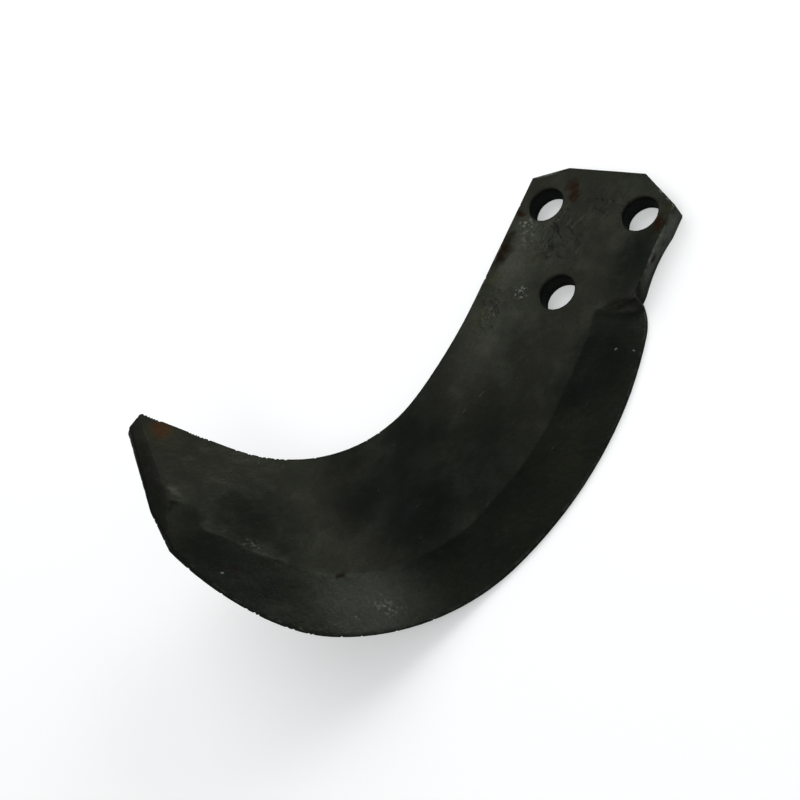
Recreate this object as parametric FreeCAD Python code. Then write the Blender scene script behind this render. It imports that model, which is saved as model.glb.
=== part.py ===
import FreeCAD, Part
import math
import os

# Rotary tiller blade, forged in one piece from flat steel. Millimetres and degrees.
# The origin is the centre of the three bolt holes, on the flat back face of the shank.
# +X runs down the shank, away from the rotor. +Y is the side of the cutting edge. +Z is the hollow side,
# to which the toe is bent, so the flat back face lies at Z = 0.
# The blade is drawn as its flat blank first. What lies past the bend line is then folded up.

# Plate. The shank leans a little from the rows of holes, towards the hollow edge
THICKNESS = 10.0
SHANK_WIDTH = 80.0
SHANK_LEAN = 2.6

# Bolt holes: an equilateral triangle, two of them in a row across the shank
HOLE_DIAMETER = 17.0
HOLE_SPACING = 50.8
HOLE_RIM_BREAK = 0.6

# Root end of the shank, past the row of two holes, with its two cut corners
ROOT_MARGIN = 20.7
INNER_CORNER_LONG = 18.0
INNER_CORNER_SHORT = 7.3
OUTER_CORNER_LONG = 20.5
OUTER_CORNER_SHORT = 14.5

# Inner (hollow) edge of the blank: straight, a long sweep, then the crook, then straight to the tip
INNER_STRAIGHT = 67.0
SWEEP_RADIUS = 221.5
SWEEP_ANGLE = 13.2
CROOK_RADIUS = 105.0
CROOK_ANGLE = 58.85

# Cutting edge of the blank: the shoulder steps out of the shank's side, then belly, heel and toe arcs
OUTER_STRAIGHT = 45.7
SHOULDER_HEADING = 42.9
SHOULDER_RADIUS = 30.7
SHOULDER_ANGLE = 32.0
BELLY_RADIUS = 171.3
BELLY_ANGLE = 65.8
HEEL_RADIUS = 75.5
HEEL_ANGLE = 27.7
TOE_RADIUS = 131.1
TOE_ANGLE = 21.0

# Bend: a cylinder whose axis lies at RULING_ANGLE from the shank, starting a little way into the crook
BEND_START_ANGLE = 2.0
RULING_ANGLE = 52.0
BEND_ANGLE = 50.0
BEND_INSIDE_RADIUS = 101.5

# Ground bevel along the cutting edge, on the hollow side. It starts in a leaning wall across the shoulder,
# leaves a blunt land that thickens at the toe, and runs on past the toe's corner into the end bevel
EDGE_LAND = 1.9
BEVEL_WIDTH = 25.5
BEVEL_START_STEP = 4.8
BEVEL_START_HEADING = 23.0
BEVEL_START_WIDTH = 18.2
BEVEL_START_LEAN = 12.0
SHOULDER_BEVEL_WIDTH = 23.0
TOE_LAND = 4.8
TOE_BEVEL_WIDTH = 14.5
TOE_RUNOUT = 16.0

# End of the toe: nearly in line with the bend's axis, with a shallow cut at the cutting edge's corner, a
# steep bevel across it on the hollow side, and a small cut corner at the tip
END_SKEW = 2.4
TOE_CUT_LENGTH = 23.5
TOE_CUT_ANGLE = 5.6
END_LAND = 1.5
END_BEVEL_RUN = 6.7
TIP_CORNER = 6.5

# How far the cutting solids stand clear of the steel, and how far helper lines and planes reach
CLEAR = 6.0
REACH = 400.0

# Stretches between the straight lines that the lofted sides and the lofted bevel pass through. The bevel
# is kept to a cubic, so that it doesn't ripple between them
RULINGS = 10
BELLY_STRETCHES = 7
HEEL_STRETCHES = 3
TOE_STRETCHES = 4
BEVEL_DEGREE = 3

UP = FreeCAD.Vector(0, 0, 1)


def heading_vector(heading):
    return FreeCAD.Vector(math.cos(math.radians(heading)), math.sin(math.radians(heading)), 0)


def left_of(heading):
    return heading_vector(heading + 90.0)


def line(pose, length):
    """A straight edge from a pose, which is a point and a heading, and the pose at its end."""
    point, heading = pose
    end = point + heading_vector(heading) * length
    return Part.makeLine(point, end), (end, heading)


def bow(pose, radius, turn):
    """A tangent arc that turns right, as both long edges of the blade do, and the pose at its end."""
    point, heading = pose
    centre = point - left_of(heading) * radius
    middle = centre + left_of(heading - turn / 2.0) * radius
    end = centre + left_of(heading - turn) * radius
    return Part.Arc(point, middle, end).toShape(), (end, heading - turn)


def crossing(point, direction, other_point, other_direction):
    """Where two lines in the plane of the blank meet."""
    gap = other_point - point
    area = direction.x * other_direction.y - direction.y * other_direction.x
    reach = (gap.x * other_direction.y - gap.y * other_direction.x) / area
    return point + direction * reach


def closed_face(points):
    return Part.Face(Part.makePolygon(points + points[:1]))


# Holes and root
row_x = -HOLE_SPACING / (2.0 * math.sqrt(3.0))
lower_hole_x = HOLE_SPACING / math.sqrt(3.0)
root_x = row_x - ROOT_MARGIN


def on_side(x, side):
    """A point of the shank's inner (side -1) or outer (side 1) edge."""
    lean = math.radians(SHANK_LEAN)
    return FreeCAD.Vector(x, side * SHANK_WIDTH / 2.0 / math.cos(lean) - x * math.tan(lean), 0)


# Inner edge, from the root corner to the tip, with the bend's first line just inside the crook
inner_start = on_side(root_x + INNER_CORNER_SHORT, -1.0)
inner_straight, sweep_pose = line((inner_start, -SHANK_LEAN), INNER_STRAIGHT)
inner_sweep, crook_pose = bow(sweep_pose, SWEEP_RADIUS, SWEEP_ANGLE)
inner_crook, tip_pose = bow(crook_pose, CROOK_RADIUS, CROOK_ANGLE)
bend_start = bow(crook_pose, CROOK_RADIUS, BEND_START_ANGLE)[1][0]

# Cutting edge, from the root corner to the toe's corner
outer_start = on_side(root_x + OUTER_CORNER_SHORT, 1.0)
outer_straight, side_pose = line((outer_start, -SHANK_LEAN), OUTER_STRAIGHT)
shoulder_pose = (side_pose[0], SHOULDER_HEADING)
shoulder_arc, belly_pose = bow(shoulder_pose, SHOULDER_RADIUS, SHOULDER_ANGLE)
belly_arc, heel_pose = bow(belly_pose, BELLY_RADIUS, BELLY_ANGLE)
heel_arc, toe_pose = bow(heel_pose, HEEL_RADIUS, HEEL_ANGLE)
toe_arc, corner_pose = bow(toe_pose, TOE_RADIUS, TOE_ANGLE)

# Directions of the bend: along its axis, and across it towards the toe
axis = heading_vector(RULING_ANGLE)
fold_way = heading_vector(RULING_ANGLE - 90.0)

# End of the toe, from the cutting edge's corner past the shallow cut to the tip's cut corner
corner = corner_pose[0]
cut_heading = RULING_ANGLE + TOE_CUT_ANGLE
cut_start = corner - heading_vector(cut_heading) * TOE_CUT_LENGTH
end_way = heading_vector(RULING_ANGLE - END_SKEW)
tip = crossing(tip_pose[0], heading_vector(tip_pose[1]), cut_start, end_way)
tip_inner = tip - heading_vector(tip_pose[1]) * TIP_CORNER
tip_end = tip + end_way * TIP_CORNER

# The flat blank
root_inner = FreeCAD.Vector(root_x, inner_start.y + INNER_CORNER_LONG, 0)
root_outer = FreeCAD.Vector(root_x, outer_start.y - OUTER_CORNER_LONG, 0)
blank_edges = [
    inner_straight,
    inner_sweep,
    inner_crook,
    Part.makeLine(tip_pose[0], tip_inner),
    Part.makeLine(tip_inner, tip_end),
    Part.makeLine(tip_end, cut_start),
    Part.makeLine(cut_start, corner),
    toe_arc,
    heel_arc,
    belly_arc,
    shoulder_arc,
    outer_straight,
    Part.makeLine(outer_start, root_outer),
    Part.makeLine(root_outer, root_inner),
    Part.makeLine(root_inner, inner_start),
]
blank = Part.Face(Part.Wire(Part.__sortEdges__(blank_edges)))

# Folding keeps lengths on the middle of the plate
outside_radius = BEND_INSIDE_RADIUS + THICKNESS
middle_radius = BEND_INSIDE_RADIUS + THICKNESS / 2.0
bend_length = middle_radius * math.radians(BEND_ANGLE)
bend_axis_point = bend_start + UP * outside_radius


def past_bend_line(point):
    return (point - bend_start).dot(fold_way)


def fold(point, height):
    """Where a point of the blank, height above its back face, lies after the bend."""
    past = past_bend_line(point)
    if past <= 0.0:
        return point + UP * height
    angle = min(past / middle_radius, math.radians(BEND_ANGLE))
    rest = max(past - bend_length, 0.0)
    radius = outside_radius - height
    out = radius * math.sin(angle) + rest * math.cos(angle)
    rise = outside_radius - radius * math.cos(angle) + rest * math.sin(angle)
    return point + fold_way * (out - past) + UP * rise


def strip(near, far):
    """The stretch of the blank between two distances past the bend line."""
    corners = []
    for past, along in ((near, -REACH), (far, -REACH), (far, REACH), (near, REACH)):
        corners.append(bend_start + fold_way * past + axis * along)
    return blank.common(closed_face(corners))


def ruling(past):
    """The two ends of the blank along one straight line of the bend, inner edge first."""
    middle = bend_start + fold_way * past
    cut = blank.common(Part.makeLine(middle - axis * REACH, middle + axis * REACH))
    ends = sorted((vertex.Point for vertex in cut.Vertexes), key=lambda point: point.dot(axis))
    return ends[0], ends[-1]


def make_flat():
    """The shank and the first of the belly, which stay flat."""
    return strip(-REACH, 0.0).extrude(UP * THICKNESS)


def make_bend():
    """A turn of bent plate, kept between the blade's two long edges."""
    profile = []
    for along, height in ((-REACH, 0.0), (REACH, 0.0), (REACH, THICKNESS), (-REACH, THICKNESS)):
        profile.append(bend_start + axis * along + UP * height)
    bent_plate = closed_face(profile).revolve(bend_axis_point, axis * -1.0, BEND_ANGLE)
    rings = []
    for k in range(RULINGS + 1):
        inner_end, outer_end = ruling(bend_length * k / RULINGS)
        ring = [
            fold(inner_end, -CLEAR),
            fold(inner_end, THICKNESS + CLEAR),
            fold(outer_end, THICKNESS + CLEAR),
            fold(outer_end, -CLEAR),
        ]
        rings.append(Part.makePolygon(ring + ring[:1]))
    return bent_plate.common(Part.makeLoft(rings, True, False))


def make_toe():
    """The toe, flat again past the bend, bevelled across its end, then swung up with the bend."""
    toe = strip(bend_length, REACH).extrude(UP * THICKNESS)
    end_past = past_bend_line(cut_start)
    slope = (THICKNESS - END_LAND) / END_BEVEL_RUN
    high = THICKNESS + slope * CLEAR
    low = END_LAND - slope * CLEAR
    profile = []
    for past, height in (
        (end_past + CLEAR, low),
        (end_past + CLEAR, high),
        (end_past - END_BEVEL_RUN - CLEAR, high),
    ):
        profile.append(bend_start + fold_way * past - axis * REACH + UP * height)
    toe = toe.cut(closed_face(profile).extrude(axis * REACH * 2.0))
    toe.translate(fold_way * -bend_length)
    toe.rotate(bend_axis_point, axis * -1.0, BEND_ANGLE)
    return toe


def bevel_section(point, heading, width, land, lean_back=0.0):
    """A triangle that takes the bevel off at one station of the cutting edge."""
    crest = fold(point - left_of(heading) * width, THICKNESS)
    edge = fold(point, land)
    along = (crest - edge).normalize()
    normal = (fold(point, THICKNESS) - fold(point, 0.0)).normalize()
    inside = crest + along * CLEAR * 2.0
    outside = edge - along * CLEAR * 2.0
    top = outside + normal * CLEAR * 5.0 - heading_vector(heading) * lean_back
    return Part.makePolygon([inside, outside, top, inside])


def make_bevel_wedge():
    """The steel ground away along the cutting edge, from the shoulder to the end of the toe."""
    point, heading = shoulder_pose
    first = point + heading_vector(heading) * BEVEL_START_STEP
    start = bevel_section(first, BEVEL_START_HEADING, BEVEL_START_WIDTH, EDGE_LAND, BEVEL_START_LEAN)
    sections = [start]

    # Round the shoulder, and wider over the first stretch of the belly
    point, heading = belly_pose
    sections.append(bevel_section(point, heading, SHOULDER_BEVEL_WIDTH, EDGE_LAND))
    point, heading = bow(belly_pose, BELLY_RADIUS, BELLY_ANGLE / BELLY_STRETCHES / 2.0)[1]
    half_widened = (SHOULDER_BEVEL_WIDTH + BEVEL_WIDTH) / 2.0
    sections.append(bevel_section(point, heading, half_widened, EDGE_LAND))
    for pose, radius, turn, stretches in (
        (belly_pose, BELLY_RADIUS, BELLY_ANGLE, BELLY_STRETCHES),
        (heel_pose, HEEL_RADIUS, HEEL_ANGLE, HEEL_STRETCHES),
    ):
        for k in range(1, stretches + 1):
            point, heading = bow(pose, radius, turn * k / stretches)[1]
            sections.append(bevel_section(point, heading, BEVEL_WIDTH, EDGE_LAND))

    # Narrower along the toe, with a thicker land, and on past the toe's corner
    for k in range(1, TOE_STRETCHES + 1):
        taper = k / TOE_STRETCHES
        point, heading = bow(toe_pose, TOE_RADIUS, TOE_ANGLE * taper)[1]
        width = BEVEL_WIDTH + (TOE_BEVEL_WIDTH - BEVEL_WIDTH) * taper
        land = EDGE_LAND + (TOE_LAND - EDGE_LAND) * taper ** 2
        sections.append(bevel_section(point, heading, width, land))
    point, heading = corner_pose
    past_corner = point + heading_vector(heading) * TOE_RUNOUT
    sections.append(bevel_section(past_corner, heading, TOE_BEVEL_WIDTH, TOE_LAND))
    return Part.makeLoft(sections, True, False, False, BEVEL_DEGREE)


def drill_bolt_holes(body):
    half_row = HOLE_SPACING / 2.0
    for x, y in ((row_x, -half_row), (row_x, half_row), (lower_hole_x, 0.0)):
        foot = FreeCAD.Vector(x, y, -CLEAR)
        body = body.cut(Part.makeCylinder(HOLE_DIAMETER / 2.0, THICKNESS + CLEAR * 2.0, foot))
    rims = []
    for edge in body.Edges:
        whole_circle = isinstance(edge.Curve, Part.Circle) and len(edge.Vertexes) == 1
        if whole_circle and abs(edge.Curve.Radius - HOLE_DIAMETER / 2.0) < 0.01:
            rims.append(edge)
    return body.makeChamfer(HOLE_RIM_BREAK, rims)


# The finished blade
body = make_flat().fuse([make_bend(), make_toe()]).removeSplitter()
body = body.cut(make_bevel_wedge())
blade = drill_bolt_holes(body).Solids[0]

os.makedirs("parts", exist_ok=True)
blade.exportStep("parts/blade.step")
print("faces", len(blade.Faces), "valid", blade.isValid(), "volume in cm3", round(blade.Volume / 1000.0, 2))
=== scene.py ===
import math
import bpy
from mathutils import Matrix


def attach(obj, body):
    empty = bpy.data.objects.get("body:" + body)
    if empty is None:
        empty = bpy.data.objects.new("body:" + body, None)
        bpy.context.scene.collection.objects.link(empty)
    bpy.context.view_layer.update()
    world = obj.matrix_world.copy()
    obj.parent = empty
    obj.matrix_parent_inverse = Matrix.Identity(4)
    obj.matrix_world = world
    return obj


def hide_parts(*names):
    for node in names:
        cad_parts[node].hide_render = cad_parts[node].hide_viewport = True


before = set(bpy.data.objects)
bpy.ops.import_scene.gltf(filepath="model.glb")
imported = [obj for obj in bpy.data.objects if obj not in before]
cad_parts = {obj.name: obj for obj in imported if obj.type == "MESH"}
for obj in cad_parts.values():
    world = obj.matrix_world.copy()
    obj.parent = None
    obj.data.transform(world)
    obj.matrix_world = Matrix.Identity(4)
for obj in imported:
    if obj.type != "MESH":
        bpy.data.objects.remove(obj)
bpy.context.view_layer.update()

from types import SimpleNamespace

import bmesh
import bpy
from mathutils import Vector
from mathutils.bvhtree import BVHTree
from mathutils.kdtree import KDTree

MM = 0.001
scene = bpy.context.scene

# The photograph's view: the blade lies on its flat back, seen from the cutting edge side and from above
CAMERA_PLACE = (0.2541, 0.3470, 0.4975)
CAMERA_TURN = (29.866, 30.695, 117.018)
LENS = 63.0
SENSOR_WIDTH = 36.0

# The studio: lamps aimed at the middle of the blade, dim light from all round, a white backdrop and floor
BLADE_MIDDLE = Vector((0.09, -0.05, 0.02))
ROOM_COLOUR = (0.95, 0.98, 1.0, 1.0)
ROOM_STRENGTH = 0.42
WHITE = (1.0, 1.0, 1.0, 1.0)
FLOOR_SIZE = 8.0
FLOOR_DROP = 0.0001
FLOOR_GREY = (0.80, 0.80, 0.80, 1.0)
FLOOR_GLOW = 0.32


def place_camera():
    data = bpy.data.cameras.new("camera")
    data.lens = LENS
    data.sensor_width = SENSOR_WIDTH
    camera = bpy.data.objects.new("camera", data)
    camera.location = CAMERA_PLACE
    camera.rotation_euler = [math.radians(angle) for angle in CAMERA_TURN]
    scene.collection.objects.link(camera)
    scene.camera = camera


def softbox(name, azimuth, elevation, distance, width, watts):
    """A square lamp that faces the blade from a heading in degrees, counted from +X to +Y."""
    data = bpy.data.lights.new(name, "AREA")
    data.shape = "SQUARE"
    data.size = width
    data.energy = watts
    lamp = bpy.data.objects.new(name, data)
    turn, rise = math.radians(azimuth), math.radians(elevation)
    away = Vector((math.cos(turn) * math.cos(rise), math.sin(turn) * math.cos(rise), math.sin(rise)))
    lamp.location = BLADE_MIDDLE + away * distance
    lamp.rotation_euler = away.to_track_quat("Z", "Y").to_euler()
    lamp.visible_camera = False
    scene.collection.objects.link(lamp)


def light_studio():
    softbox("far_softbox", azimuth=-130.0, elevation=44.0, distance=1.8, width=1.6, watts=13.0)
    softbox("toe_softbox", azimuth=165.0, elevation=24.0, distance=1.6, width=0.9, watts=10.0)
    softbox("near_softbox", azimuth=40.0, elevation=55.0, distance=1.9, width=1.0, watts=5.0)


def light_room():
    """Dim light from all round, which the camera sees as a white backdrop."""
    world = bpy.data.worlds.new("studio")
    scene.world = world
    world.use_nodes = True
    tree = world.node_tree
    tree.nodes.clear()
    room = add(tree, "ShaderNodeBackground", {"Color": ROOM_COLOUR, "Strength": ROOM_STRENGTH})
    backdrop = add(tree, "ShaderNodeBackground", {"Color": WHITE, "Strength": 1.0})
    rays = add(tree, "ShaderNodeLightPath")
    choose = add(tree, "ShaderNodeMixShader")
    out = add(tree, "ShaderNodeOutputWorld")
    join(tree, rays, "Is Camera Ray", choose, 0)
    join(tree, room, 0, choose, 1)
    join(tree, backdrop, 0, choose, 2)
    join(tree, choose, 0, out, 0)


def lay_floor():
    """The pale floor keeps the blade's shadow."""
    bpy.ops.object.select_all(action="DESELECT")
    bpy.ops.mesh.primitive_plane_add(size=FLOOR_SIZE, location=(0.0, 0.0, -FLOOR_DROP))
    floor = bpy.context.object
    floor.name = "floor"
    material = bpy.data.materials.new("pale_floor")
    material.use_nodes = True
    tree = material.node_tree
    tree.nodes.clear()
    matt = add(tree, "ShaderNodeBsdfDiffuse", {"Color": FLOOR_GREY})
    glow = add(tree, "ShaderNodeEmission", {"Color": WHITE})
    rays = add(tree, "ShaderNodeLightPath")
    lit = times(tree, (rays, "Is Camera Ray"), FLOOR_GLOW)
    both = add(tree, "ShaderNodeAddShader")
    out = add(tree, "ShaderNodeOutputMaterial")
    join(tree, *lit, glow, "Strength")
    join(tree, matt, 0, both, 0)
    join(tree, glow, 0, both, 1)
    join(tree, both, 0, out, 0)
    floor.data.materials.append(material)


# Small helpers for node trees. A value of a tree is a node and its output
def add(tree, kind, values=None, **settings):
    """A node with its settings and with the values of its unlinked sockets."""
    node = tree.nodes.new(kind)
    for name, value in settings.items():
        setattr(node, name, value)
    for name, value in (values or {}).items():
        node.inputs[name].default_value = value
    return node


def join(tree, source, output, target, socket):
    tree.links.new(source.outputs[output], target.inputs[socket])


def new_group(name, **inputs):
    """An empty node group with named inputs and a mask as its result, and its input and output nodes."""
    tree = bpy.data.node_groups.new(name, "ShaderNodeTree")
    for label, value in inputs.items():
        kind = "NodeSocketFloat" if isinstance(value, float) else "NodeSocketVector"
        socket = tree.interface.new_socket(label.capitalize(), in_out="INPUT", socket_type=kind)
        socket.default_value = value
    tree.interface.new_socket("Mask", in_out="OUTPUT", socket_type="NodeSocketFloat")
    return tree, tree.nodes.new("NodeGroupInput"), tree.nodes.new("NodeGroupOutput")


def mask(tree, group, **values):
    """The mask of a node group that is placed in a material with its own values."""
    node = tree.nodes.new("ShaderNodeGroup")
    node.node_tree = group
    for name, value in values.items():
        node.inputs[name.capitalize()].default_value = value
    return node, "Mask"


def math_node(tree, operation, first, second):
    """One step of maths. Each term is a number or a value of the tree."""
    node = add(tree, "ShaderNodeMath", operation=operation)
    for slot, term in enumerate((first, second)):
        if isinstance(term, tuple):
            join(tree, *term, node, slot)
        else:
            node.inputs[slot].default_value = term
    return node, 0


def times(tree, first, second):
    return math_node(tree, "MULTIPLY", first, second)


def more_of(tree, first, second):
    return math_node(tree, "MAXIMUM", first, second)


def ramp(tree, source, low, high, start=0.0, end=1.0):
    """Maps a value between two limits onto a smooth step."""
    limits = {"From Min": low, "From Max": high, "To Min": start, "To Max": end}
    node = add(tree, "ShaderNodeMapRange", limits, interpolation_type="SMOOTHSTEP")
    join(tree, *source, node, "Value")
    return node, "Result"


def layer(tree, below, above, cover, strength=None):
    """Lays a colour over another where a mask is white. Each is a fixed colour or a value of the tree."""
    node = add(tree, "ShaderNodeMix", data_type="RGBA")
    join(tree, *(times(tree, cover, strength) if strength else cover), node, 0)
    for slot, colour in ((6, below), (7, above)):
        if isinstance(colour[0], float):
            node.inputs[slot].default_value = (*colour, 1.0)
        else:
            join(tree, *colour, node, slot)
    return node, 2


# Finishes that come back in several places of the steel. Their sizes are in metres
def make_cloud_group():
    """Soft uneven tone. Size is the width of its clouds."""
    tree, given, result = new_group(
        "cloud", size=0.02, detail=3.0, low=0.35, high=0.65, shift=(0.0, 0.0, 0.0)
    )
    place = add(tree, "ShaderNodeTexCoord")
    moved = add(tree, "ShaderNodeVectorMath", operation="ADD")
    scale = add(tree, "ShaderNodeMath", {0: 1.0}, operation="DIVIDE")
    noise = add(tree, "ShaderNodeTexNoise", {"Roughness": 0.55})
    step = add(tree, "ShaderNodeMapRange", interpolation_type="SMOOTHSTEP")
    join(tree, place, "Object", moved, 0)
    join(tree, given, "Shift", moved, 1)
    join(tree, given, "Size", scale, 1)
    join(tree, moved, 0, noise, "Vector")
    join(tree, scale, 0, noise, "Scale")
    join(tree, given, "Detail", noise, "Detail")
    join(tree, noise, 0, step, "Value")
    join(tree, given, "Low", step, "From Min")
    join(tree, given, "High", step, "From Max")
    join(tree, step, "Result", result, "Mask")
    return tree


def make_mark_group():
    """One ragged mark at a place on the blade, such as a rust spot, a stain, or a patch of painted light or
    painted shade.
    """
    tree, given, result = new_group(
        "mark", centre=(0.0, 0.0, 0.0), size=(0.01, 0.01, 0.01), turn=0.0, ragged=0.004, soft=0.6
    )
    place = add(tree, "ShaderNodeTexCoord")
    noise = add(tree, "ShaderNodeTexNoise", {"Scale": 260.0, "Detail": 4.0})
    even = add(tree, "ShaderNodeVectorMath", {1: (0.5, 0.5, 0.5)}, operation="SUBTRACT")
    shaken = add(tree, "ShaderNodeVectorMath", operation="SCALE")
    warped = add(tree, "ShaderNodeVectorMath", operation="ADD")
    offset = add(tree, "ShaderNodeVectorMath", operation="SUBTRACT")
    turned = add(tree, "ShaderNodeVectorRotate", rotation_type="Z_AXIS")
    scaled = add(tree, "ShaderNodeVectorMath", operation="DIVIDE")
    length = add(tree, "ShaderNodeVectorMath", operation="LENGTH")
    inner = add(tree, "ShaderNodeMath", {0: 1.0}, operation="SUBTRACT")
    limits = {"From Min": 1.0, "To Min": 0.0, "To Max": 1.0}
    step = add(tree, "ShaderNodeMapRange", limits, interpolation_type="SMOOTHSTEP")
    join(tree, place, "Object", noise, "Vector")
    join(tree, noise, 1, even, 0)
    join(tree, even, 0, shaken, 0)
    join(tree, given, "Ragged", shaken, "Scale")
    join(tree, place, "Object", warped, 0)
    join(tree, shaken, 0, warped, 1)
    join(tree, warped, 0, offset, 0)
    join(tree, given, "Centre", offset, 1)
    join(tree, offset, 0, turned, "Vector")
    join(tree, given, "Turn", turned, "Angle")
    join(tree, turned, 0, scaled, 0)
    join(tree, given, "Size", scaled, 1)
    join(tree, scaled, 0, length, 0)
    join(tree, given, "Soft", inner, 1)
    join(tree, length, "Value", step, "Value")
    join(tree, inner, 0, step, "From Max")
    join(tree, step, "Result", result, "Mask")
    return tree


def make_scratch_group():
    """Thin broken lines that all run one way across the face of the blade."""
    tree, given, result = new_group("scratches", turn=0.0, size=0.001, stretch=14.0, low=0.62, high=0.70)
    place = add(tree, "ShaderNodeTexCoord")
    turned = add(tree, "ShaderNodeVectorRotate", rotation_type="Z_AXIS")
    apart = add(tree, "ShaderNodeSeparateXYZ")
    squeezed = add(tree, "ShaderNodeMath", operation="DIVIDE")
    together = add(tree, "ShaderNodeCombineXYZ")
    scale = add(tree, "ShaderNodeMath", {0: 1.0}, operation="DIVIDE")
    noise = add(tree, "ShaderNodeTexNoise", {"Detail": 2.0, "Roughness": 0.5})
    step = add(tree, "ShaderNodeMapRange", interpolation_type="SMOOTHSTEP")
    join(tree, place, "Object", turned, "Vector")
    join(tree, given, "Turn", turned, "Angle")
    join(tree, turned, 0, apart, 0)
    join(tree, apart, "X", squeezed, 0)
    join(tree, given, "Stretch", squeezed, 1)
    join(tree, squeezed, 0, together, "X")
    join(tree, apart, "Y", together, "Y")
    join(tree, apart, "Z", together, "Z")
    join(tree, given, "Size", scale, 1)
    join(tree, together, 0, noise, "Vector")
    join(tree, scale, 0, noise, "Scale")
    join(tree, noise, 0, step, "Value")
    join(tree, given, "Low", step, "From Min")
    join(tree, given, "High", step, "From Max")
    join(tree, step, "Result", result, "Mask")
    return tree


# Colours of the steel
SCALE_DARK = (0.0046, 0.0054, 0.0042)
SCALE_MID = (0.0186, 0.0194, 0.0145)
SCALE_LIGHT = (0.0400, 0.0415, 0.0330)
GROUND_DARK = (0.0092, 0.0105, 0.0088)
GROUND_MID = (0.0160, 0.0172, 0.0126)
GROUND_LIGHT = (0.0560, 0.0595, 0.0495)
OLIVE = (0.0240, 0.0245, 0.0095)
RUST_DARK = (0.0112, 0.0058, 0.0016)
RUST_RED = (0.0160, 0.0070, 0.0020)
RUST_ORANGE = (0.0460, 0.0225, 0.0085)
# The side of the shank painted pale: a painted reflection of the white surroundings
SIDE_PAINTED_REFLECTION = (0.0900, 0.0980, 0.0820)
BORE_GREY = (0.0260, 0.0285, 0.0310)
BLUE_DARK = (0.0072, 0.0090, 0.0094)
# Bare steel, and also the colour of the painted glints
BARE_STEEL_AND_GLINTS = (0.1500, 0.1550, 0.1350)

# How strongly bare steel shows through, and how dark the skin is between its grains
STRAY_SCRATCHES = 0.22
EDGE_CHIPS = 0.16
RUBBED_RIMS = 0.80
GRAIN_DARKNESS = 0.22

# Heights of the bump, in units of 0.35 mm
BUMP_UNIT = 0.00035
RIPPLE_HEIGHT = 1.2
PIT_HEIGHT = 0.16
GRAIN_HEIGHT = 0.08
GOUGE_HEIGHT = 0.9
STROKE_HEIGHT = 1.5
SCALE_THICKNESS = 0.12

# Gloss of the skin, and what rust and rubbing change in it
ROUGHEST = 0.52
SMOOTHEST = 0.40
RUST_ROUGHER = 0.20
BARE_SMOOTHER = 0.10
METALLIC = 0.9
RUST_LESS_METAL = 0.15

# Marks seen in the photograph: place and half widths in millimetres, turn in degrees, and strength
RUST_RED_MARKS = (
    ((-23.0, -12.6, 10.0), (9.5, 4.0, 6.0), -20.0, 1.0),
    ((-11.0, 36.8, 10.0), (7.5, 4.4, 6.0), 0.0, 1.0),
    ((-8.2, -36.6, 10.0), (2.6, 5.0, 5.0), 0.0, 0.9),
    ((201.5, -64.5, 59.2), (3.0, 2.6, 3.0), 0.0, 0.35),
    ((5.6, 39.9, 7.8), (4.0, 3.0, 2.2), 0.0, 0.9),
    ((-4.0, 40.2, 4.5), (3.0, 3.0, 1.8), 0.0, 0.6),
)
RUST_DARK_MARKS = (
    ((12.5, -37.4, 9.0), (12.5, 5.2, 8.0), 6.0, 1.0),
    ((-26.0, -17.0, 10.0), (5.0, 4.0, 6.0), 0.0, 0.35),
    ((184.8, -32.1, 30.4), (2.6, 2.6, 3.0), 0.0, 0.9),
)
RUST_ORANGE_MARKS = (
    ((153.4, -131.8, 69.8), (7.5, 7.5, 7.5), 0.0, 1.0),
)
OLIVE_MARKS = (
    ((154.6, -130.0, 70.7), (12.0, 12.0, 12.0), 0.0, 0.8),
    ((-27.7, -30.3, 10.0), (5.0, 5.0, 6.0), 0.0, 1.0),
    ((-21.7, 36.6, 10.0), (8.0, 7.0, 8.0), 0.0, 0.9),
    ((16.0, -18.9, 10.0), (9.0, 5.0, 6.0), 0.0, 0.8),
    ((28.0, -36.8, 10.0), (7.0, 5.0, 6.0), 0.0, 0.9),
    ((49.0, -34.0, 10.0), (14.0, 7.0, 6.0), 0.0, 0.9),
    ((98.4, 37.0, 5.0), (28.0, 13.0, 8.0), -20.0, 0.3),
    ((140.0, 27.0, 5.0), (26.0, 12.0, 8.0), -35.0, 0.3),
)
BARE_MARKS = (
    ((32.0, -18.9, 10.0), (5.0, 5.5, 6.0), 0.0, 1.0),
    ((-2.9, -31.0, 10.0), (7.0, 7.0, 6.0), 0.0, 0.6),
    ((3.0, -27.0, 10.0), (10.0, 6.0, 6.0), 0.0, 0.35),
    ((46.0, -31.0, 10.0), (10.0, 6.0, 6.0), 0.0, 0.3),
    ((190.0, -12.6, 19.4), (6.0, 12.0, 9.0), 0.0, 0.7),
    ((199.0, -19.2, 25.7), (1.2, 1.2, 3.0), 0.0, 1.0),
    ((188.4, -66.0, 54.5), (4.0, 7.0, 6.0), 0.0, 0.30),
)
# Painted glints: small highlights painted in the colour of bare steel
PAINTED_GLINT_MARKS = (
    ((50.2, 37.7, 5.5), (0.9, 0.5, 1.5), 30.0, 0.7),
    ((48.3, 44.8, 3.1), (0.5, 0.8, 1.5), 0.0, 0.7),
    ((204.7, -66.7, 62.2), (0.7, 0.9, 1.2), 0.0, 0.8),
)
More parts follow.
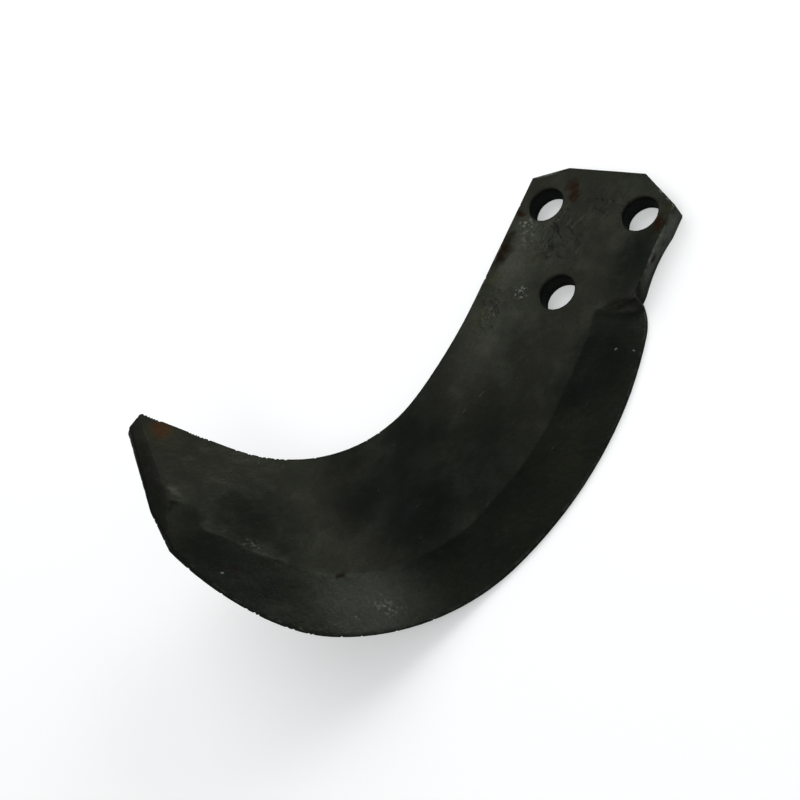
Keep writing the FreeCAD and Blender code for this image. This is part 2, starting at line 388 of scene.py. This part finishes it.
# Painted shade: broad dark areas over the shank, the bend, the belly and the toe's land, where the oiled
# steel reflects the dark room
PAINTED_SHADE_MARKS = (
    ((7.0, 33.0, 10.0), (34.0, 14.0, 8.0), 2.0, 0.90),
    ((60.0, 24.0, 10.0), (26.0, 10.0, 8.0), 20.0, 0.5),
    ((60.0, 37.0, 5.0), (28.0, 18.0, 9.0), 0.0, 0.55),
    ((78.0, 22.0, 10.0), (20.0, 15.0, 8.0), 0.0, 0.6),
    ((114.0, -2.0, 10.0), (54.0, 44.0, 14.0), 0.0, 0.72),
    ((5.2, -37.5, 10.0), (6.0, 3.0, 6.0), 0.0, 0.7),
    ((143.0, -20.0, 12.0), (48.0, 40.0, 24.0), -25.0, 1.0),
    ((112.0, -42.0, 10.0), (42.0, 30.0, 14.0), -30.0, 0.85),
    ((126.0, -38.0, 13.0), (54.0, 32.0, 18.0), 10.0, 0.85),
    ((148.0, -46.0, 20.0), (28.0, 24.0, 18.0), 0.0, 0.85),
    ((131.0, -66.0, 18.0), (24.0, 18.0, 14.0), 0.0, 0.6),
    ((176.0, -76.0, 50.0), (32.0, 28.0, 26.0), 0.0, 0.75),
    ((180.0, -58.0, 44.0), (24.0, 16.0, 16.0), 0.0, 0.55),
    ((180.0, -117.5, 75.0), (52.0, 9.5, 9.0), -51.5, 0.60),
    ((198.0, -80.0, 67.0), (12.0, 28.0, 18.0), 0.0, 0.55),
    ((189.0, -89.0, 69.0), (13.0, 12.0, 10.0), 0.0, 0.6),
)
# Painted light: lighter areas on the shank and a soft bright spot on the toe, where the blade catches the
# light
PAINTED_LIGHT_MARKS = (
    ((12.0, -26.0, 10.0), (42.0, 18.0, 8.0), 0.0, 0.8),
    ((58.0, -28.0, 10.0), (36.0, 20.0, 8.0), 0.0, 0.5),
    ((8.0, -8.0, 10.0), (24.0, 12.0, 8.0), 0.0, 0.35),
    ((46.0, -20.0, 10.0), (16.0, 11.0, 8.0), 0.0, 0.5),
    ((30.5, 36.5, 5.5), (5.5, 11.0, 6.0), -56.0, 0.7),
    ((178.9, -103.6, 73.2), (3.0, 6.0, 5.0), 0.0, 0.9),
)
# Painted reflection: the shank's side at +Y painted pale, as it reflects the white surroundings
SIDE_REFLECTION_MARKS = (
    ((0.0, 41.5, 3.0), (29.0, 3.2, 14.0), 2.5, 1.0),
)
BORE_MARKS = (
    ((-14.7, -25.4, 5.0), (11.0, 11.0, 6.4), 0.0, 0.8),
    ((-14.7, 25.4, 5.0), (11.0, 11.0, 6.4), 0.0, 0.8),
    ((29.3, 0.0, 5.0), (11.0, 11.0, 6.4), 0.0, 0.8),
)
BLUE_MARKS = (
    ((73.0, 31.0, 7.5), (14.0, 10.0, 8.0), 10.0, 0.7),
    ((199.0, -68.0, 61.0), (12.0, 26.0, 14.0), 0.0, 0.5),
    ((148.0, -28.0, 15.0), (22.0, 22.0, 14.0), 0.0, 0.4),
    ((120.0, -2.0, 10.0), (18.0, 16.0, 8.0), 0.0, 0.35),
)
RIM_MARKS = (
    ((-6.0, -31.0, 10.0), (9.0, 7.0, 4.0), 0.0, 1.0),
    ((-27.0, -30.0, 10.0), (10.0, 8.0, 5.0), 0.0, 0.8),
    ((-22.0, 23.0, 10.0), (8.0, 10.0, 4.0), 0.0, 0.7),
    ((-24.0, 36.0, 10.0), (14.0, 9.0, 5.0), 0.0, 0.6),
    ((25.0, -7.0, 10.0), (9.0, 8.0, 4.0), 0.0, 0.6),
    ((22.0, -40.0, 10.0), (26.0, 4.0, 5.0), 0.0, 0.7),
)
ROUGH_MARKS = (
    ((2.0, -12.0, 10.0), (26.0, 22.0, 6.0), 0.0, 1.0),
    ((40.0, -30.0, 10.0), (26.0, 12.0, 6.0), 0.0, 0.5),
    ((-18.0, 5.0, 10.0), (12.0, 26.0, 6.0), 0.0, 0.7),
)
# Painted highlight: the ground bevel round the heel painted lighter, where it reflects the light
HEEL_PAINTED_HIGHLIGHT_MARKS = (
    ((191.0, -16.0, 23.0), (38.0, 44.0, 30.0), 0.0, 1.0),
)


def gather(tree, group, marks, ragged, soft):
    """All marks of one kind as one mask."""
    total = None
    for centre, size, turn, strength in marks:
        mark = mask(
            tree, group,
            centre=[value * MM for value in centre],
            size=[value * MM for value in size],
            turn=math.radians(turn), ragged=ragged, soft=soft,
        )
        faded = times(tree, mark, strength)
        total = more_of(tree, total, faded) if total else faded
    return total


def lay_scale_and_painted_light(tree, groups, blotches, mottle):
    """The forging skin, with soft blotches, and lighter areas that are painted light where the shank and the
    toe catch the light.
    """
    skin = layer(tree, SCALE_MID, SCALE_DARK, blotches, strength=0.22)
    skin = layer(tree, skin, SCALE_LIGHT, mottle, strength=0.12)
    # Painted light over the lighter areas
    return layer(tree, skin, SCALE_LIGHT, gather(tree, groups.mark, PAINTED_LIGHT_MARKS, ragged=0.008, soft=0.8))


def grind_bevel(tree, groups, skin, blotches):
    """The ground bevel has faint grinding lines across the edge, and a painted highlight round the heel."""
    bevel = add(tree, "ShaderNodeAttribute", attribute_name="ground_bevel")
    lines = mask(
        tree, groups.scratches, turn=math.radians(62.0), size=0.0009, stretch=20.0, low=0.35, high=0.75
    )
    ground = layer(tree, GROUND_MID, GROUND_DARK, blotches)
    ground = layer(tree, ground, GROUND_LIGHT, lines, strength=0.07)
    # Painted highlight round the heel
    heel_painted_highlight = gather(tree, groups.mark, HEEL_PAINTED_HIGHLIGHT_MARKS, ragged=0.008, soft=1.0)
    ground = layer(tree, ground, GROUND_LIGHT, heel_painted_highlight)
    return layer(tree, skin, ground, (bevel, "Fac"))


def lay_painted_shade_and_stains(tree, groups, colour):
    """Broad areas of painted shade, bluish dark areas, the grey bores, the side of the shank painted pale as
    a reflection, then oil stains.
    """
    # Painted shade over the broad dark areas
    painted_shade = gather(tree, groups.mark, PAINTED_SHADE_MARKS, ragged=0.010, soft=0.85)
    colour = layer(tree, colour, SCALE_DARK, painted_shade)
    colour = layer(tree, colour, BLUE_DARK, gather(tree, groups.mark, BLUE_MARKS, ragged=0.008, soft=1.0))
    colour = layer(tree, colour, BORE_GREY, gather(tree, groups.mark, BORE_MARKS, ragged=0.0006, soft=0.3))
    # The side of the shank painted pale, a painted reflection
    side = gather(tree, groups.mark, SIDE_REFLECTION_MARKS, ragged=0.0006, soft=0.3)
    speckle = mask(tree, groups.cloud, size=0.0035, detail=5.0, low=0.0, high=0.62, shift=(0.6, 0.3, 0.9))
    colour = layer(tree, colour, SIDE_PAINTED_REFLECTION, times(tree, side, speckle))
    olive = gather(tree, groups.mark, OLIVE_MARKS, ragged=0.012, soft=0.9)
    patchy = mask(tree, groups.cloud, size=0.006, detail=4.0, low=0.38, high=0.60, shift=(0.7, 0.2, 0.4))
    return layer(tree, colour, OLIVE, times(tree, olive, patchy), strength=0.7)


def lay_rust(tree, groups, colour):
    """Three tones of rust. Gives the colour and where the rust lies."""
    fine_rust = mask(tree, groups.cloud, size=0.0030, detail=4.0, low=0.15, high=0.52, shift=(0.2, 0.9, 0.3))
    total = None
    tones = ((RUST_DARK_MARKS, RUST_DARK), (RUST_RED_MARKS, RUST_RED), (RUST_ORANGE_MARKS, RUST_ORANGE))
    for marks, tone in tones:
        rust = times(tree, gather(tree, groups.mark, marks, ragged=0.006, soft=0.75), fine_rust)
        colour = layer(tree, colour, tone, rust)
        total = more_of(tree, total, rust) if total else rust
    return colour, total


def find_bare_steel_and_glints(tree, groups):
    """Where bare steel shows: flecks, a few stray scratches, and rims knocked free of scale; and painted
    glints, small highlights in the colour of bare steel.
    """
    flecks = mask(tree, groups.cloud, size=0.0016, detail=4.0, low=0.50, high=0.64, shift=(0.8, 0.1, 0.6))
    bare_and_glints = times(tree, gather(tree, groups.mark, BARE_MARKS, ragged=0.006, soft=0.9), flecks)
    # Painted glints, in the colour of bare steel
    bare_and_glints = more_of(tree, bare_and_glints, gather(tree, groups.mark, PAINTED_GLINT_MARKS, ragged=0.001, soft=0.5))
    stray = mask(
        tree, groups.scratches, turn=math.radians(20.0), size=0.0010, stretch=9.0, low=0.73, high=0.80
    )
    bare_and_glints = more_of(tree, bare_and_glints, times(tree, stray, STRAY_SCRATCHES))

    edge = add(tree, "ShaderNodeAttribute", attribute_name="edge_wear"), "Fac"
    chips = mask(tree, groups.cloud, size=0.0040, detail=4.0, low=0.44, high=0.66, shift=(0.4, 0.4, 0.8))
    worn = times(tree, ramp(tree, edge, low=0.35, high=0.95), chips)
    bare_and_glints = more_of(tree, bare_and_glints, times(tree, worn, EDGE_CHIPS))
    rims = times(tree, ramp(tree, edge, low=0.10, high=0.60), chips)
    rims = times(tree, gather(tree, groups.mark, RIM_MARKS, ragged=0.004, soft=0.6), rims)
    return more_of(tree, bare_and_glints, times(tree, rims, RUBBED_RIMS))


def cut_strokes(tree, groups):
    """Short chisel strokes on the upper shank: the light ones, the dark ones and the gouges round them."""
    area = gather(tree, groups.mark, ROUGH_MARKS, ragged=0.010, soft=0.9)
    strokes = mask(
        tree, groups.scratches, turn=math.radians(20.0), size=0.0026, stretch=2.6, low=0.52, high=0.66
    )
    grooves = mask(
        tree, groups.scratches, turn=math.radians(130.0), size=0.0028, stretch=2.4, low=0.55, high=0.68
    )
    chisel = mask(tree, groups.cloud, size=0.0048, detail=4.0, low=0.35, high=0.60, shift=(0.6, 0.8, 0.2))
    return times(tree, area, strokes), times(tree, area, grooves), times(tree, area, chisel)


def raise_relief(tree, groups, heights):
    """A bump from ripples of the hammer, pits of the scale and other masks, each with its height."""
    ripples = mask(tree, groups.cloud, size=0.014, detail=5.0, low=0.15, high=0.85, shift=(0.5, 0.6, 0.7))
    pits = mask(tree, groups.cloud, size=0.0020, detail=2.0, low=0.30, high=0.44, shift=(0.9, 0.3, 0.1))
    relief = times(tree, ripples, RIPPLE_HEIGHT)
    for form, height in ((pits, PIT_HEIGHT), *heights):
        relief = math_node(tree, "ADD", relief, times(tree, form, height))
    bump = add(tree, "ShaderNodeBump", {"Strength": 0.8, "Distance": BUMP_UNIT})
    join(tree, *relief, bump, "Height")
    return bump


def make_steel():
    """Forging scale on steel: dark and satin, blotched with oil, lighter where ground or rubbed, with painted
    light, painted shade, a painted reflection and painted glints laid into its colour.
    """
    material = bpy.data.materials.new("forged_dark_steel")
    material.use_nodes = True
    tree = material.node_tree
    tree.nodes.clear()
    groups = SimpleNamespace(cloud=make_cloud_group(), mark=make_mark_group(), scratches=make_scratch_group())
    blotches = mask(tree, groups.cloud, size=0.045, detail=3.0, low=0.40, high=0.70)
    mottle = mask(tree, groups.cloud, size=0.012, detail=5.0, low=0.36, high=0.72, shift=(0.3, 0.1, 0.2))
    grain = mask(tree, groups.cloud, size=0.0013, detail=3.0, low=0.30, high=0.72, shift=(0.1, 0.5, 0.0))

    colour = lay_scale_and_painted_light(tree, groups, blotches, mottle)
    colour = grind_bevel(tree, groups, colour, blotches)
    colour = lay_painted_shade_and_stains(tree, groups, colour)
    colour, rust = lay_rust(tree, groups, colour)
    bare_and_glints = find_bare_steel_and_glints(tree, groups)
    # Bare steel, and the painted glints
    colour = layer(tree, colour, BARE_STEEL_AND_GLINTS, bare_and_glints)
    between_grain = math_node(tree, "SUBTRACT", GRAIN_DARKNESS, times(tree, grain, GRAIN_DARKNESS))
    colour = layer(tree, colour, SCALE_DARK, between_grain)
    light_strokes, dark_strokes, gouges = cut_strokes(tree, groups)
    colour = layer(tree, colour, SCALE_LIGHT, light_strokes, strength=0.75)
    colour = layer(tree, colour, SCALE_DARK, dark_strokes, strength=0.50)

    bump = raise_relief(tree, groups, (
        (grain, GRAIN_HEIGHT), (gouges, GOUGE_HEIGHT),
        (light_strokes, STROKE_HEIGHT), (dark_strokes, -STROKE_HEIGHT), (bare_and_glints, -SCALE_THICKNESS),
    ))
    rough = ramp(tree, mottle, low=0.0, high=1.0, start=ROUGHEST, end=SMOOTHEST)
    rough = math_node(tree, "ADD", rough, times(tree, rust, RUST_ROUGHER))
    rough = math_node(tree, "SUBTRACT", rough, times(tree, bare_and_glints, BARE_SMOOTHER))
    metal = math_node(tree, "SUBTRACT", METALLIC, times(tree, rust, RUST_LESS_METAL))

    dim_sheen = {"Specular IOR Level": 0.2, "Specular Tint": (0.5, 0.5, 0.5, 1.0)}
    shader = add(tree, "ShaderNodeBsdfPrincipled", dim_sheen)
    out = add(tree, "ShaderNodeOutputMaterial")
    join(tree, *colour, shader, "Base Color")
    join(tree, *rough, shader, "Roughness")
    join(tree, *metal, shader, "Metallic")
    join(tree, bump, "Normal", shader, "Normal")
    join(tree, shader, 0, out, 0)
    return material


# How the solid is read and remeshed. Lengths from here on are in millimetres
MERGED = 0.001
VOXEL = 0.90
CREASE = math.radians(12.0)
SHARP_CREASE = math.radians(60.0)
CREASE_STEP = 0.4
SAME_FACE = math.radians(9.0)
ON_BEVEL = (98.4, 39.2, 4.6)

# How far the remeshed surface may stay off the solid's faces and sharp creases, and how near a crease counts
FACE_WEAR = 0.01
CREASE_WEAR = 0.07
CREASE_REACH = 0.62

# Places where the grinding has blended the faces: centre and radius
BLENDED_PLACES = (
    ((33.0, 33.0, 5.0), 9.0),
    ((42.5, 22.0, 9.5), 7.0),
    ((183.5, -91.5, 68.0), 8.0),
)

# Unevenness left by the hammer and by the scale: width and depth
UNEVENNESS = {"hammered": (22.0, 0.14), "scaled": (6.0, 0.05)}

# The hollow worn into the shank's outer side: its place along X, its height, its start and depth across Y
HOLLOW_MIDDLE = 6.0
HOLLOW_HALF_LENGTH = 15.0
HOLLOW_HEIGHT = 7.0
HOLLOW_START = 34.0
HOLLOW_RISE = 5.0
HOLLOW_DEPTH = 1.3

# Widths of the wear beside a sharp crease, and of the change from scale to ground bevel
WEAR_WIDTH = 1.6
BEVEL_CHANGE = 2.0


def only(piece):
    """Selects one piece alone, as the operators need."""
    bpy.ops.object.select_all(action="DESELECT")
    piece.select_set(True)
    bpy.context.view_layer.objects.active = piece


def apply(piece, kind, **settings):
    """Adds a modifier with its settings and applies it."""
    modifier = piece.modifiers.new(kind.lower(), kind)
    for name, value in settings.items():
        setattr(modifier, name, value)
    only(piece)
    bpy.ops.object.modifier_apply(modifier=modifier.name)


def spread(form, start, steepest):
    """The indices of the faces that a face reaches over edges flatter than an angle."""
    reached, front = {start.index}, [start]
    while front:
        for edge in front.pop().edges:
            if len(edge.link_faces) == 2 and edge.calc_face_angle() < steepest:
                for other in edge.link_faces:
                    if other.index not in reached:
                        reached.add(other.index)
                        front.append(other)
    return reached


def read_form(mesh):
    """The solid's creases as points with their angles, its faces, and which of them are the ground bevel."""
    form = bmesh.new()
    form.from_mesh(mesh)
    bmesh.ops.remove_doubles(form, verts=form.verts, dist=MERGED * MM)
    form.faces.ensure_lookup_table()
    creases = []
    for edge in form.edges:
        if len(edge.link_faces) == 2 and edge.calc_face_angle() > CREASE:
            first, last = (vertex.co for vertex in edge.verts)
            steps = max(1, int((last - first).length / (CREASE_STEP * MM)))
            creases += [(first.lerp(last, k / steps), edge.calc_face_angle()) for k in range(steps + 1)]
    faces = BVHTree.FromBMesh(form)
    start = form.faces[faces.find_nearest(Vector(ON_BEVEL) * MM)[2]]
    bevel = spread(form, start, SAME_FACE)
    form.free()
    return creases, faces, bevel


def find_creases(creases):
    """A search tree of the creases' points."""
    tree = KDTree(len(creases))
    for index, (point, _) in enumerate(creases):
        tree.insert(point, index)
    tree.balance()
    return tree


def draw_near(point, target, reach):
    """The point, brought to within a reach of its target."""
    away = point - target
    return point if away.length <= reach else target + away * (reach / away.length)


def settle(mesh, creases, faces):
    """Draws the smoothed surface back to the solid, so that only a little is worn off its edges."""
    tree = find_creases([crease for crease in creases if crease[1] > SHARP_CREASE])
    for vertex in mesh.vertices:
        place = draw_near(vertex.co, faces.find_nearest(vertex.co)[0], FACE_WEAR * MM)
        edge, _, distance = tree.find(place)
        vertex.co = draw_near(place, edge, CREASE_WEAR * MM) if distance < CREASE_REACH * MM else place


def blend_places(piece):
    """Smooths the faces into each other at the blended places, less over the outer half of each radius."""
    group = piece.vertex_groups.new(name="blended")
    for vertex in piece.data.vertices:
        place = vertex.co / MM
        near = max(1.0 - (place - Vector(centre)).length / radius for centre, radius in BLENDED_PLACES)
        if near > 0.0:
            group.add([vertex.index], min(1.0, 2.0 * near), "REPLACE")
    apply(piece, "SMOOTH", factor=0.9, iterations=30, vertex_group=group.name)


def wear_shank_side(mesh):
    """The lower edge of the shank's outer side is worn hollow between the root and the shoulder."""
    for vertex in mesh.vertices:
        x, y, z = (value / MM for value in vertex.co)
        along = max(0.0, 1.0 - ((x - HOLLOW_MIDDLE) / HOLLOW_HALF_LENGTH) ** 2)
        low = max(0.0, 1.0 - z / HOLLOW_HEIGHT)
        outward = max(0.0, (y - HOLLOW_START) / HOLLOW_RISE)
        vertex.co.y -= HOLLOW_DEPTH * along * low * outward * MM


def write_wear(mesh, creases, faces, bevel):
    """Stores how near each vertex is to a sharp crease, and how far inside the ground bevel it is."""
    tree = find_creases(creases)
    wear, ground = [], []
    for vertex in mesh.vertices:
        _, index, distance = tree.find(vertex.co)
        strong = 1.0 if creases[index][1] > SHARP_CREASE else 0.0
        wear.append(strong * max(0.0, 1.0 - distance / (WEAR_WIDTH * MM)))
        side = 1.0 if faces.find_nearest(vertex.co)[2] in bevel else -1.0
        ground.append(min(1.0, max(0.0, 0.5 + side * distance / (BEVEL_CHANGE * MM))))
    for name, values in (("edge_wear", wear), ("ground_bevel", ground)):
        mesh.attributes.new(name, "FLOAT", "POINT").data.foreach_set("value", values)


def forge_blade(material):
    """The blade itself, with the worn edges and the uneven faces of a forging."""
    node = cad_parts["blade"]
    piece = bpy.data.objects.new("forged_blade", node.data.copy())
    scene.collection.objects.link(piece)
    creases, faces, bevel = read_form(piece.data)
    only(piece)
    bpy.ops.object.mode_set(mode="EDIT")
    bpy.ops.mesh.select_all(action="SELECT")
    bpy.ops.mesh.remove_doubles(threshold=MERGED * MM)
    bpy.ops.mesh.customdata_custom_splitnormals_clear()
    bpy.ops.object.mode_set(mode="OBJECT")
    apply(piece, "REMESH", mode="VOXEL", voxel_size=VOXEL * MM)
    apply(piece, "SMOOTH", factor=0.5, iterations=2)
    settle(piece.data, creases, faces)
    blend_places(piece)
    for name, (width, depth) in UNEVENNESS.items():
        clouds = bpy.data.textures.new(name, "CLOUDS")
        clouds.noise_scale = width * MM
        clouds.noise_depth = 2
        apply(piece, "DISPLACE", texture=clouds, strength=depth * MM, mid_level=1.0, texture_coords="LOCAL")
    write_wear(piece.data, creases, faces, bevel)
    wear_shank_side(piece.data)
    piece.data.materials.clear()
    piece.data.materials.append(material)
    piece.data.shade_smooth()
    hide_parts("blade")
    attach(piece, "root")


scene.view_settings.view_transform = "Standard"
place_camera()
light_studio()
light_room()
lay_floor()
forge_blade(make_steel())
